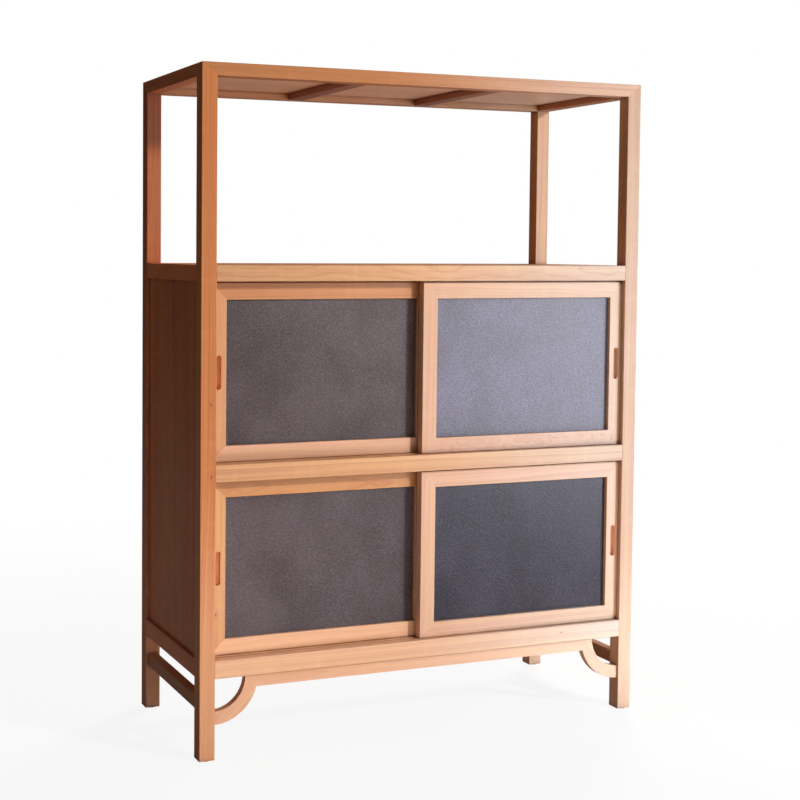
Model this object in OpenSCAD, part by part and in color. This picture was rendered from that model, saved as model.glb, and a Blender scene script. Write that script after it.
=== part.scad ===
// East Asian side cabinet: an open display bay above two pairs of sliding glass doors.
// X runs along the front, the front faces -Y, Z is up, and the origin is on the floor under the middle.

/* [Overall] */
// Width over the posts
width = 1030; // [900:10:1200]
// Depth over the posts
depth = 400; // [320:5:500]
// Height from the floor to the top face
height = 1400; // [1300:10:1600]

/* [Frame members] */
// Side of the square posts
post = 33; // [31:1:42]
// Height of the top frame's rails
top_rail_h = 27; // [24:1:34]
// Height of the rails round the display shelf
shelf_rail_h = 33; // [32:1:42]
// Height of the rails between the two pairs of doors
mid_rail_h = 35; // [34:1:44]
// Height of the rails under the lower doors
bottom_rail_h = 37; // [34:1:46]
// Radius on the long edges of posts and rails
edge_round = 1.5; // [0.6:0.1:2.4]
// Thickness of a tenon
tenon_t = 9; // [7:0.5:10]
// Length of a tenon
tenon_len = 20; // [12:1:24]
// Wood left above and below a tenon
tenon_margin = 7.5; // [7:0.5:9]

/* [Levels] */
// Height of the bottom frame's top face above the floor
bottom_top = 204; // [180:2:260]
// Clear height behind the lower doors
lower_h = 361; // [300:5:380]
// Clear height behind the upper doors
upper_h = 367; // [300:5:390]

/* [Panels] */
// Thickness of the side panels
side_panel_t = 10; // [8:0.5:11]
// How far the side panels lie inside the posts' outer faces
side_panel_inset = 7; // [5:0.5:8]
// Thickness of the back panels
back_panel_t = 8; // [6:0.5:10]
// How far the back panels lie inside the posts' back faces
back_panel_inset = 12; // [10:0.5:14]
// Thickness of the top, shelf and bottom panels
panel_t = 12; // [11:0.5:13]
// How far a panel's top lies below its frame
panel_drop = 0.5; // [0.2:0.1:1]
// Depth to which panels reach into their grooves
panel_tongue = 6; // [4:0.5:6.5]
// Thickness of the tongue round a top, shelf or bottom panel
panel_tongue_t = 6; // [4:0.5:7]
// Wood above the groove that holds that tongue
panel_groove_drop = 4; // [3:0.5:5]
// Thickness of the loose shelf behind the doors
board_t = 18; // [15:1:20]
// Width of the battens under the panels
batten_w = 35; // [25:1:50]
// Height of the battens under the shelf panel
shelf_batten_h = 16; // [12:1:18]
// Depth of the shelf cleats
cleat_w = 14; // [10:1:20]
// Height of the shelf cleats
cleat_h = 20; // [14:1:28]

/* [Doors] */
// Thickness of a door frame
door_t = 20; // [18:0.5:22]
// How far the front doors lie behind the front faces
door_setback = 12.5; // [12:0.5:15]
// Space between the front doors and the rear doors
door_gap = 4; // [3:0.5:6]
// How far a front door enters the rebate in its post
door_lap = 4.5; // [3:0.5:5]
// How far the two doors of a pair overlap
door_overlap = 33; // [26:1:40]
// Width of the door stiles
stile_w = 34; // [30:1:42]
// Width of the doors' top rails
door_top_w = 34.5; // [30:0.5:44]
// Width of the doors' bottom rails
door_bottom_w = 32.5; // [28:0.5:44]
// Radius on the front edges of the door frames
door_round = 1; // [0.5:0.1:2]
// Thickness of the tongues that run in the tracks
track_tongue_t = 8; // [6:0.5:9]
// Depth of the tracks under the doors
bottom_track_depth = 3; // [2.5:0.5:4]
// Depth of the tracks over the doors
top_track_depth = 8; // [6:0.5:9]
// Wood behind the rear doors' track
track_lip = 3; // [2.5:0.5:5]
// Room to lift a door out, between its top shoulder and the rail above it
head_gap = 3; // [2.5:0.5:5]

/* [Glass] */
// Thickness of the door glass
glass_t = 4; // [3:0.5:5]
// Wood in front of the glass
glass_lip = 9; // [7:0.5:10]
// Depth of the rebate that holds the glass
glass_rebate = 7; // [6:0.5:9]

/* [Finger pulls] */
// Width of a finger pull
pull_w = 12; // [10:0.5:14]
// Height of a finger pull
pull_h = 70; // [50:2:100]
// Depth of a finger pull
pull_depth = 9; // [7:0.5:11]

/* [Base] */
// Diameter of the felt pads under the posts
pad_d = 26; // [20:1:28]
// Thickness of the felt pads
pad_t = 2; // [1.5:0.5:4]
// Inner radius of the quarter-ring brackets
ring_r = 67.5; // [55:0.5:80]
// Width of the brackets' curved face
ring_w = 27; // [22:0.5:32]
// Thickness of the brackets and the apron, front to back
apron_t = 17; // [14:0.5:20]
// How far the brackets and the apron lie behind the front faces
apron_setback = 5; // [3:0.5:8]
// Height of the apron between the brackets
apron_h = 24.5; // [18:0.5:30]
// Width of the low side stretchers
stretcher_w = 21; // [18:1:24]
// Height of the low side stretchers
stretcher_h = 28; // [24:1:34]
// Height of the side stretchers' lower faces above the floor
stretcher_rise = 97; // [60:1:115]
// How far the side stretchers lie inside the posts' outer faces
stretcher_inset = 6; // [4:0.5:8]

/* [Fits] */
// Clearance round a glued tenon
joint_gap = 0.1; // [0.05:0.05:0.2]
// Space at the end of a tenon
tenon_end_gap = 0.5; // [0.3:0.1:1]
// Clearance round a panel that is free to swell
panel_gap = 0.3; // [0.2:0.1:0.4]
// Clearance on each side of a running door
run_gap = 0.5; // [0.4:0.1:0.8]
// Clearance under a standing door
seat_gap = 0.3; // [0.2:0.1:0.4]

/* [Hidden] */

left = -1;
right = 1;
wood = [0.80, 0.53, 0.36];
wood_dark = [0.70, 0.44, 0.28];
wood_pale = [0.88, 0.68, 0.52];
glass_tint = [0.52, 0.55, 0.60, 0.45];
felt = [0.25, 0.19, 0.16];
arc_sides = 24;
slot_sides = 48;
ring_sides = 96;
overrun = 1;

half_w = width / 2;
front = -depth / 2;
back = depth / 2;
in_x = half_w - post;
in_front = front + post;
in_back = back - post;

top_z = [height - top_rail_h, height];
bottom_z = [bottom_top - bottom_rail_h, bottom_top];
mid_z = [bottom_top + lower_h, bottom_top + lower_h + mid_rail_h];
shelf_z = [mid_z[1] + upper_h, mid_z[1] + upper_h + shelf_rail_h];
stretcher_z = [stretcher_rise, stretcher_rise + stretcher_h];

front_door_y = front + door_setback;
rear_door_y = front_door_y + door_t + door_gap;
track_back = rear_door_y + door_t + track_lip;
tongue_y = (door_t - track_tongue_t) / 2;
bottom_tongue_len = bottom_track_depth - seat_gap + run_gap;
door_w = (2 * in_x - run_gap + door_lap + door_overlap) / 2;
pull_u = door_w - stile_w / 2;
sight_u = [stile_w, door_w - stile_w];

side_panel_x = [half_w - side_panel_inset - side_panel_t, half_w - side_panel_inset];
back_panel_y = [back - back_panel_inset - back_panel_t, back - back_panel_inset];
jamb_x = [in_x, side_panel_x[0]];
jamb_y = [max(in_front, front_door_y + door_t + run_gap), track_back];
batten_x = in_x / 3;
tenon_depth = (post - tenon_t) / 4;
tenon_parting = 0.5;
tenon_root = 5;
front_tenon_y = front + tenon_depth;
back_tenon_y = back - tenon_depth - tenon_t;
rebate_wall = 1;
side_tenon_x = [in_x + door_lap + run_gap + rebate_wall, side_panel_x[0] - tenon_end_gap];
stub_w = 12;
stub_cover = 5.5;
stretcher_x = [half_w - stretcher_inset - stretcher_w, half_w - stretcher_inset];
stretcher_tenon_in = 4;
apron_y = [front + apron_setback, front + apron_setback + apron_t];
apron_tongue_t = 6;
apron_tongue_h = 5;
ring_outer = ring_r + ring_w;
mitre_in = in_x - ring_r;
mitre_out = in_x - sqrt(ring_outer * ring_outer - apron_h * apron_h);
bracket_tenon = 6;
board_tongue = 3;
batten_tenon = 10;
batten_margin = 3;
top_batten_y = [in_front - batten_tenon, in_back + batten_tenon];
top_batten_z = [top_z[0], under_panel(height)];
shelf_batten_y = [track_back - board_tongue, in_back + batten_tenon];
shelf_batten_z = [under_panel(shelf_z[1]) - shelf_batten_h, under_panel(shelf_z[1])];
apron_tongue_in = 5;
corner_tenon = [17, 10];
corner_tenon_at = 0.45;

// A box from three pairs of limits
module span(x, y, z) {
    translate([x[0], y[0], z[0]]) cube([x[1] - x[0], y[1] - y[0], z[1] - z[0]]);
}

// A rectangle with four rounded corners
module round_rect(w, h, r) {
    translate([r, 0]) square([w - 2 * r, h]);
    translate([0, r]) square([w, h - 2 * r]);
    for (cx = [r, w - r], cy = [r, h - r]) translate([cx, cy]) circle(r, $fn = arc_sides);
}

// A rectangle whose two corners at y = 0 are rounded
module round_front_rect(w, t, r) {
    translate([0, r]) square([w, t - r]);
    translate([r, 0]) square([w - 2 * r, t]);
    for (cx = [r, w - r]) translate([cx, r]) circle(r, $fn = arc_sides);
}

// Bars with rounded long edges, along X, Y and Z
module bar_x(x, y, z) {
    translate([x[0], y[0], z[0]]) rotate([90, 0, 90]) linear_extrude(x[1] - x[0])
        round_rect(y[1] - y[0], z[1] - z[0], edge_round);
}
module bar_y(x, y, z) {
    translate([x[0], y[1], z[0]]) rotate([90, 0, 0]) linear_extrude(y[1] - y[0])
        round_rect(x[1] - x[0], z[1] - z[0], edge_round);
}
module bar_z(x, y, z) {
    translate([x[0], y[0], z[0]]) linear_extrude(z[1] - z[0])
        round_rect(x[1] - x[0], y[1] - y[0], edge_round);
}

// Outlines in a vertical or horizontal plane, made into plates
module plate_xz(y, points) {
    translate([0, y[1], 0]) rotate([90, 0, 0]) linear_extrude(y[1] - y[0]) polygon(points);
}
module plate_yz(x, points) {
    translate([x[0], 0, 0]) rotate([90, 0, 90]) linear_extrude(x[1] - x[0]) polygon(points);
}
module plate_xy(z, points) {
    translate([0, 0, z[0]]) linear_extrude(z[1] - z[0]) polygon(points);
}

// Pieces are drawn on the right and mirrored to the left
module at_side(side) {
    mirror([side < 0 ? 1 : 0, 0, 0]) children();
}
module both_sides() {
    for (side = [left, right]) at_side(side) children();
}

// Tenons of the front and back rails lie in the upper half, those of the side rails in the lower half
function upper_half(z) = [(z[0] + z[1]) / 2 + tenon_parting, z[1] - tenon_margin];
function lower_half(z) = [z[0] + tenon_margin, (z[0] + z[1]) / 2 - tenon_parting];
module tenon_along_x(y, z, gap, end) {
    span([in_x - tenon_root, in_x + tenon_len + end], [y - gap, y + tenon_t + gap],
         [z[0] - gap, z[1] + gap]);
}
module tenon_along_y(x, z, gap, end) {
    span([x[0] - gap, x[1] + gap], [in_front - tenon_len - end, in_front + tenon_root],
         [z[0] - gap, z[1] + gap]);
}
module stub_tenon(gap) {
    mid = [in_x + post / 2, front + post / 2];
    reach = stub_w / 2 + gap;
    span([mid[0] - reach, mid[0] + reach], [mid[1] - reach, mid[1] + reach],
         [top_z[0] - overrun, height - stub_cover + gap]);
}
module both_ends_y() {
    children();
    mirror([0, 1, 0]) children();
}

// Panel tongues and the grooves cut for them
module side_panel_blank(gap) {
    span([side_panel_x[0] - gap, side_panel_x[1] + gap],
         [in_front - panel_tongue - gap, in_back + panel_tongue + gap],
         [bottom_z[1] - panel_tongue - gap, shelf_z[0] + panel_tongue + gap]);
}
module back_panel_blank(z, gap) {
    reach = in_x + panel_tongue + gap;
    span([-reach, reach], [back_panel_y[0] - gap, back_panel_y[1] + gap],
         [z[0] - panel_tongue - gap, z[1] + panel_tongue + gap]);
}
function under_panel(z_top) = z_top - panel_drop - panel_t;
module flat_panel(y, z_top) {
    tongue = [z_top - panel_groove_drop - panel_tongue_t, z_top - panel_groove_drop];
    inner_x = [-in_x + panel_gap, in_x - panel_gap];
    inner_y = [y[0] + panel_gap, y[1] - panel_gap];
    span(inner_x, inner_y, [under_panel(z_top), z_top - panel_drop]);
    span([-in_x - panel_tongue, in_x + panel_tongue], inner_y, tongue);
    span(inner_x, [y[0] - panel_tongue, y[1] + panel_tongue], tongue);
}
module flat_groove(y, z_top) {
    z = [z_top - panel_groove_drop - panel_tongue_t - joint_gap, z_top - panel_groove_drop + joint_gap];
    reach = panel_tongue + panel_gap;
    span([-in_x - reach, in_x + reach], [y[0], y[1]], z);
    span([-in_x, in_x], [y[0] - reach, y[1] + reach], z);
}
module battens(y, z) {
    color(wood_dark) for (x = [-batten_x, batten_x]) span([x - batten_w / 2, x + batten_w / 2], y, z);
}
module batten_tenons(y, z, gap, end) {
    for (x = [-batten_x, batten_x])
        span([x - batten_w / 4 - gap, x + batten_w / 4 + gap], [y[0] - end, y[1] + end],
             [z[0] + batten_margin - gap, z[1] - batten_margin + gap]);
}
module board_tongues(end, gap) {
    mid = mid_z[1] - board_t / 2;
    rise = panel_tongue_t / 2 + gap;
    reach = board_tongue + end;
    span([-in_x + panel_gap - gap, in_x - panel_gap + gap], [track_back - reach, in_back + reach],
         [mid - rise, mid + rise]);
}

// Tracks for the doors, cut into the rail below and the rail above them
module tracks(x, z) {
    for (y = [front_door_y, rear_door_y])
        span(x, [y + tongue_y - run_gap, y + tongue_y + track_tongue_t + run_gap], z);
}
module bottom_tracks(rail_top) {
    tracks([-in_x - overrun, in_x + overrun], [rail_top - bottom_track_depth, rail_top + overrun]);
}
module top_tracks(rail_bottom) {
    tracks([-in_x - overrun, in_x + overrun], [rail_bottom - overrun, rail_bottom + top_track_depth]);
}
module door_rebate(z) {
    span([in_x - overrun, in_x + door_lap + run_gap],
         [front_door_y - run_gap, in_front + overrun],
         [z[0] - bottom_track_depth, z[1] + top_track_depth]);
}

// Posts: square section, mitred into the top frame and mortised for everything they hold
module post_blank(flip) {
    mirror([0, flip, 0]) intersection() {
        bar_z([in_x, half_w], [front, in_front], [pad_t, height + overrun]);
        plate_xz([front - overrun, in_front + overrun],
                 [[in_x - overrun, 0], [half_w + overrun, 0], [half_w + overrun, height + overrun],
                  [half_w, height], [in_x, top_z[0]], [in_x - overrun, top_z[0] - overrun]]);
        plate_yz([in_x - overrun, half_w + overrun],
                 [[front - overrun, 0], [in_front + overrun, 0], [in_front + overrun, top_z[0] - overrun],
                  [in_front, top_z[0]], [front, height], [front - overrun, height + overrun]]);
        span([in_x, half_w], [front, in_front], [pad_t, height]);
    }
    mirror([0, flip, 0]) stub_tenon(0);
}
module post_side_mortises() {
    for (z = [bottom_z, shelf_z]) tenon_along_y(side_tenon_x, lower_half(z), joint_gap, tenon_end_gap);
    stretcher_tenon(joint_gap, tenon_end_gap);
}
module front_post(side) {
    color(wood) at_side(side) difference() {
        post_blank(0);
        for (z = [bottom_z, mid_z, shelf_z])
            tenon_along_x(front_tenon_y, upper_half(z), joint_gap, tenon_end_gap);
        post_side_mortises();
        side_panel_blank(joint_gap);
        bracket_stub(joint_gap);
        if (side == right) {
            door_rebate([bottom_z[1], mid_z[0]]);
            door_rebate([mid_z[1], shelf_z[0]]);
        }
    }
}
module rear_post(side) {
    color(wood_dark) at_side(side) difference() {
        post_blank(1);
        for (z = [bottom_z, mid_z, shelf_z])
            tenon_along_x(back_tenon_y, upper_half(z), joint_gap, tenon_end_gap);
        mirror([0, 1, 0]) post_side_mortises();
        side_panel_blank(joint_gap);
        back_panel_blank([bottom_z[1], mid_z[0]], joint_gap);
        back_panel_blank([mid_z[1], shelf_z[0]], joint_gap);
    }
}

// Top frame: four rails mitred on every face, a floating panel and two battens
module top_long_rail(flip) {
    mirror([0, flip, 0]) difference() {
        intersection() {
            bar_x([-half_w, half_w], [front, in_front], top_z);
            plate_xz([front - overrun, in_front + overrun],
                     [[-in_x, top_z[0]], [in_x, top_z[0]], [half_w, height], [-half_w, height]]);
            plate_xy([top_z[0] - overrun, height + overrun],
                     [[-half_w, front], [half_w, front], [in_x, in_front], [-in_x, in_front]]);
        }
        both_sides() stub_tenon(joint_gap);
        flat_groove([in_front, in_back], height);
        batten_tenons(top_batten_y, top_batten_z, joint_gap, tenon_end_gap);
    }
}
module top_side_rail(side) {
    at_side(side) difference() {
        intersection() {
            bar_y([in_x, half_w], [front, back], top_z);
            plate_yz([in_x - overrun, half_w + overrun],
                     [[in_front, top_z[0]], [in_back, top_z[0]], [back, height], [front, height]]);
            plate_xy([top_z[0] - overrun, height + overrun],
                     [[half_w, front], [half_w, back], [in_x, in_back], [in_x, in_front]]);
        }
        both_ends_y() stub_tenon(joint_gap);
        flat_groove([in_front, in_back], height);
    }
}
module top_front_rail() {
    color(wood) top_long_rail(0);
}
module top_back_rail() {
    color(wood_dark) top_long_rail(1);
}
module top_left_rail() {
    color(wood_dark) top_side_rail(left);
}
module top_right_rail() {
    color(wood) top_side_rail(right);
}
module top_panel() {
    color(wood_pale) flat_panel([in_front, in_back], height);
}
module top_battens() {
    battens([in_front, in_back], top_batten_z);
    color(wood_dark) batten_tenons(top_batten_y, top_batten_z, 0, 0);
}

// Display shelf: a grooved front rail, three plain rails, a floating panel and two battens
module front_rail(z) {
    bar_x([-in_x, in_x], [front, track_back], z);
    both_sides() tenon_along_x(front_tenon_y, upper_half(z), 0, 0);
}
module back_rail(z) {
    bar_x([-in_x, in_x], [in_back, back], z);
    both_sides() tenon_along_x(back_tenon_y, upper_half(z), 0, 0);
}
module side_rail(z) {
    difference() {
        union() {
            bar_y([in_x, half_w], [in_front, in_back], z);
            both_ends_y() tenon_along_y(side_tenon_x, lower_half(z), 0, 0);
        }
        side_panel_blank(joint_gap);
        flat_groove([track_back, in_back], z[1]);
    }
}
module shelf_front_rail() {
    color(wood_pale) difference() {
        front_rail(shelf_z);
        top_tracks(shelf_z[0]);
        flat_groove([track_back, in_back], shelf_z[1]);
        batten_tenons(shelf_batten_y, shelf_batten_z, joint_gap, tenon_end_gap);
    }
}
module shelf_back_rail() {
    color(wood_dark) difference() {
        back_rail(shelf_z);
        flat_groove([track_back, in_back], shelf_z[1]);
        back_panel_blank([mid_z[1], shelf_z[0]], joint_gap);
        batten_tenons(shelf_batten_y, shelf_batten_z, joint_gap, tenon_end_gap);
    }
}
module shelf_left_rail() {
    color(wood_dark) at_side(left) side_rail(shelf_z);
}
module shelf_right_rail() {
    color(wood) at_side(right) side_rail(shelf_z);
}
module shelf_panel() {
    color(wood_pale) flat_panel([track_back, in_back], shelf_z[1]);
}
module shelf_battens() {
    battens([track_back, in_back], shelf_batten_z);
    color(wood_dark) batten_tenons(shelf_batten_y, shelf_batten_z, 0, 0);
}

// Middle level: rails, the shelf behind the doors and its cleats
module mid_front_rail() {
    color(wood_pale) difference() {
        front_rail(mid_z);
        bottom_tracks(mid_z[1]);
        top_tracks(mid_z[0]);
        board_tongues(panel_gap, joint_gap);
    }
}
module mid_back_rail() {
    color(wood_dark) difference() {
        back_rail(mid_z);
        board_tongues(panel_gap, joint_gap);
        back_panel_blank([bottom_z[1], mid_z[0]], joint_gap);
        back_panel_blank([mid_z[1], shelf_z[0]], joint_gap);
    }
}
module inner_shelf() {
    color(wood_pale) {
        span([-side_panel_x[0] + panel_gap, side_panel_x[0] - panel_gap],
             [track_back + panel_gap, in_back - panel_gap], [mid_z[1] - board_t, mid_z[1]]);
        board_tongues(0, 0);
    }
}
module inner_shelf_cleats() {
    color(wood_dark) both_sides()
        span([side_panel_x[0] - cleat_w, side_panel_x[0]], [track_back, in_back],
             [mid_z[1] - board_t - cleat_h, mid_z[1] - board_t]);
}

// Bottom frame under the lower doors
module bottom_front_rail() {
    color(wood_pale) difference() {
        front_rail(bottom_z);
        bottom_tracks(bottom_z[1]);
        flat_groove([track_back, in_back], bottom_z[1]);
        apron_tongue(joint_gap);
    }
}
module bottom_back_rail() {
    color(wood_dark) difference() {
        back_rail(bottom_z);
        flat_groove([track_back, in_back], bottom_z[1]);
        back_panel_blank([bottom_z[1], mid_z[0]], joint_gap);
    }
}
module bottom_left_rail() {
    color(wood_dark) at_side(left) side_rail(bottom_z);
}
module bottom_right_rail() {
    color(wood) at_side(right) side_rail(bottom_z);
}
module bottom_panel() {
    color(wood_pale) flat_panel([track_back, in_back], bottom_z[1]);
}

// Panels of the sides and the back, and the jambs that the rear doors close against
module side_panel(side) {
    color(wood_dark) at_side(side) side_panel_blank(-joint_gap);
}
module back_panel(z) {
    color(wood_dark) back_panel_blank(z, -joint_gap);
}
module door_jambs() {
    color(wood_dark) both_sides() span(jamb_x, jamb_y, [bottom_z[1], shelf_z[0]]);
}

// Curved brackets, apron, side stretchers and felt pads
module apron_tongue(gap) {
    y = (apron_y[0] + apron_y[1] - apron_tongue_t) / 2;
    reach = mitre_in - apron_tongue_in + gap;
    span([-reach, reach], [y - gap, y + apron_tongue_t + gap],
         [bottom_z[0] - overrun, bottom_z[0] + apron_tongue_h + gap]);
}
module front_apron() {
    color(wood) {
        plate_xz(apron_y, [[-mitre_in, bottom_z[0]], [mitre_in, bottom_z[0]],
                           [mitre_out, bottom_z[0] - apron_h], [-mitre_out, bottom_z[0] - apron_h]]);
        apron_tongue(0);
    }
}
module bracket_stub(gap) {
    z = bottom_z[0] - ring_r - ring_w / 2;
    y = (apron_y[0] + apron_y[1] - apron_tongue_t) / 2;
    span([in_x - overrun, in_x + bracket_tenon + gap], [y - gap, y + apron_tongue_t + gap],
         [z - ring_w / 4 - gap, z + ring_w / 4 + gap]);
}
module bracket(side) {
    color(wood_pale) at_side(side) {
        intersection() {
            translate([in_x, apron_y[1], bottom_z[0]]) rotate([90, 0, 0]) difference() {
                cylinder(h = apron_t, r = ring_outer, $fn = ring_sides);
                translate([0, 0, -overrun])
                    cylinder(h = apron_t + 2 * overrun, r = ring_r, $fn = ring_sides);
            }
            plate_xz([apron_y[0] - overrun, apron_y[1] + overrun],
                     [[mitre_in, bottom_z[0]], [mitre_out, bottom_z[0] - apron_h],
                      [in_x - ring_outer - overrun, bottom_z[0] - apron_h],
                      [in_x - ring_outer - overrun, bottom_z[0] - ring_outer - overrun],
                      [in_x, bottom_z[0] - ring_outer - overrun], [in_x, bottom_z[0]]]);
        }
        bracket_stub(0);
    }
}
module stretcher_tenon(gap, end) {
    tenon_along_y([stretcher_x[0] + stretcher_tenon_in, stretcher_x[1] - stretcher_tenon_in],
                  [stretcher_z[0] + stretcher_tenon_in, stretcher_z[1] - stretcher_tenon_in], gap, end);
}
module side_stretchers() {
    color(wood_dark) both_sides() {
        bar_y(stretcher_x, [in_front, in_back], stretcher_z);
        both_ends_y() stretcher_tenon(0, 0);
    }
}
module foot_pads() {
    mid = [half_w - post / 2, back - post / 2];
    color(felt) for (x = [-mid[0], mid[0]], y = [-mid[1], mid[1]])
        translate([x, y, 0]) cylinder(h = pad_t, d = pad_d, $fn = slot_sides);
}

// Doors, in their own frame: u from the meeting edge to the outer edge, y back from the front face
function door_z(level) = level == "upper"
    ? [mid_z[1] + run_gap, shelf_z[0] - head_gap]
    : [bottom_z[1] + run_gap, mid_z[0] - head_gap];
function door_h(level) = door_z(level)[1] - door_z(level)[0];
module door_place(side, level) {
    x = side == right ? in_x + door_lap - door_w : -in_x + run_gap + door_w;
    y = side == right ? front_door_y : rear_door_y;
    translate([x, y, door_z(level)[0]]) mirror([side == right ? 0 : 1, 0, 0]) children();
}
module door_bar_z(u, h) {
    translate([u, 0, 0]) linear_extrude(h) round_front_rect(stile_w, door_t, door_round);
}
module door_bar_x(z, w) {
    translate([0, 0, z]) rotate([90, 0, 90]) linear_extrude(door_w)
        mirror([1, -1, 0]) round_front_rect(w, door_t, door_round);
}
module glass_space(level) {
    span([sight_u[0] - glass_rebate, sight_u[1] + glass_rebate], [glass_lip, door_t + overrun],
         [door_bottom_w - glass_rebate, door_h(level) - door_top_w + glass_rebate]);
}
module corner_tenons(level, top, gap) {
    z = top ? door_h(level) - corner_tenon_at * door_top_w : corner_tenon_at * door_bottom_w;
    reach = corner_tenon / 2 + [gap, gap];
    for (u = [corner_tenon_at * stile_w, door_w - corner_tenon_at * stile_w])
        span([u - reach[0], u + reach[0]], [tongue_y - gap, tongue_y + track_tongue_t + gap],
             [z - reach[1], z + reach[1]]);
}
module door_stile(side, level, outer) {
    h = door_h(level);
    u = outer ? door_w - stile_w : 0;
    flat = outer ? door_w : 0;
    sight = outer ? door_w - stile_w : stile_w;
    color(side == right ? wood_pale : wood) door_place(side, level) difference() {
        intersection() {
            door_bar_z(u, h);
            plate_xz([-overrun, door_t + overrun],
                     [[flat, 0], [sight, door_bottom_w], [sight, h - door_top_w], [flat, h]]);
        }
        glass_space(level);
        corner_tenons(level, true, joint_gap);
        corner_tenons(level, false, joint_gap);
        if (outer) finger_pull(h);
    }
}
module finger_pull(h) {
    straight = pull_h - pull_w;
    z = h / 2 - straight / 2;
    translate([pull_u, pull_depth, z]) rotate([90, 0, 0]) {
        cylinder(h = pull_depth + overrun, d = pull_w, $fn = slot_sides);
        translate([0, straight, 0]) cylinder(h = pull_depth + overrun, d = pull_w, $fn = slot_sides);
        translate([-pull_w / 2, 0, 0]) cube([pull_w, straight, pull_depth + overrun]);
    }
}
module door_rail(side, level, top) {
    h = door_h(level);
    w = top ? door_top_w : door_bottom_w;
    z = top ? h - w : 0;
    flat = top ? h : 0;
    sight = top ? h - w : w;
    tongue = top ? [h - overrun, h + top_track_depth] : [-bottom_tongue_len, overrun];
    color(side == right ? wood_pale : wood) door_place(side, level) difference() {
        union() {
            intersection() {
                door_bar_x(z, w);
                plate_xz([-overrun, door_t + overrun],
                         [[0, flat], [door_w, flat], [door_w - stile_w, sight], [stile_w, sight]]);
            }
            span([0, door_w], [tongue_y, tongue_y + track_tongue_t], tongue);
            corner_tenons(level, top, 0);
        }
        glass_space(level);
    }
}
module door_glass(side, level) {
    grow = glass_rebate - run_gap;
    color(glass_tint) door_place(side, level)
        span([sight_u[0] - grow, sight_u[1] + grow], [glass_lip, glass_lip + glass_t],
             [door_bottom_w - grow, door_h(level) - door_top_w + grow]);
}
module mitred_strip(length, w) {
    plate_xz([glass_lip + glass_t, door_t], [[0, 0], [length, 0], [length - w, w], [w, w]]);
}
module door_beads(side, level) {
    u = [sight_u[0] - glass_rebate, sight_u[1] + glass_rebate];
    z = [door_bottom_w - glass_rebate, door_h(level) - door_top_w + glass_rebate];
    across = u[1] - u[0] - 2 * joint_gap;
    up = z[1] - z[0] - 2 * joint_gap;
    color(wood_dark) door_place(side, level) {
        translate([u[0] + joint_gap, 0, z[0]]) mitred_strip(across, glass_rebate);
        translate([u[1] - joint_gap, 0, z[1]]) rotate([0, 180, 0]) mitred_strip(across, glass_rebate);
        translate([u[0], 0, z[1] - joint_gap]) rotate([0, 90, 0]) mitred_strip(up, glass_rebate);
        translate([u[1], 0, z[0] + joint_gap]) rotate([0, -90, 0]) mitred_strip(up, glass_rebate);
    }
}

front_post(left);  // post_front_left
front_post(right);  // post_front_right
rear_post(left);  // post_rear_left
rear_post(right);  // post_rear_right
top_front_rail();
top_back_rail();
top_left_rail();
top_right_rail();
top_panel();
top_battens();
shelf_front_rail();
shelf_back_rail();
shelf_left_rail();
shelf_right_rail();
shelf_panel();
shelf_battens();
mid_front_rail();
mid_back_rail();
inner_shelf();
inner_shelf_cleats();
bottom_front_rail();
bottom_back_rail();
bottom_left_rail();
bottom_right_rail();
bottom_panel();
side_panel(left);  // side_panel_left
side_panel(right);  // side_panel_right
back_panel([mid_z[1], shelf_z[0]]);  // back_panel_upper
back_panel([bottom_z[1], mid_z[0]]);  // back_panel_lower
door_jambs();
front_apron();
bracket(left);  // bracket_left
bracket(right);  // bracket_right
side_stretchers();
foot_pads();
door_stile(left, "upper", true);  // upper_left_outer_stile
door_stile(left, "upper", false);  // upper_left_inner_stile
door_rail(left, "upper", true);  // upper_left_top_rail
door_rail(left, "upper", false);  // upper_left_bottom_rail
door_glass(left, "upper");  // upper_left_glass
door_beads(left, "upper");  // upper_left_beads
door_stile(right, "upper", true);  // upper_right_outer_stile
door_stile(right, "upper", false);  // upper_right_inner_stile
door_rail(right, "upper", true);  // upper_right_top_rail
door_rail(right, "upper", false);  // upper_right_bottom_rail
door_glass(right, "upper");  // upper_right_glass
door_beads(right, "upper");  // upper_right_beads
door_stile(left, "lower", true);  // lower_left_outer_stile
door_stile(left, "lower", false);  // lower_left_inner_stile
door_rail(left, "lower", true);  // lower_left_top_rail
door_rail(left, "lower", false);  // lower_left_bottom_rail
door_glass(left, "lower");  // lower_left_glass
door_beads(left, "lower");  // lower_left_beads
door_stile(right, "lower", true);  // lower_right_outer_stile
door_stile(right, "lower", false);  // lower_right_inner_stile
door_rail(right, "lower", true);  // lower_right_top_rail
door_rail(right, "lower", false);  // lower_right_bottom_rail
door_glass(right, "lower");  // lower_right_glass
door_beads(right, "lower");  // lower_right_beads
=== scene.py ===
import math
import random

import bpy
from mathutils import Matrix, Vector


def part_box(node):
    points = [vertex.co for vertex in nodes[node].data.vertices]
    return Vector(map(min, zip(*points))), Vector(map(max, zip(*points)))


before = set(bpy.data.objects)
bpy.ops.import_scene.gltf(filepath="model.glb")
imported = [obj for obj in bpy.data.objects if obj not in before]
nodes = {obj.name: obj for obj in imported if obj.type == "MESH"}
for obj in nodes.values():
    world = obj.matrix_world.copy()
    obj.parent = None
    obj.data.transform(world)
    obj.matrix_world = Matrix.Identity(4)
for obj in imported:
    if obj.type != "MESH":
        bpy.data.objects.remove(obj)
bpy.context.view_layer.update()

print("stage 1: frame loaded,", len(nodes), "pieces")


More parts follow.
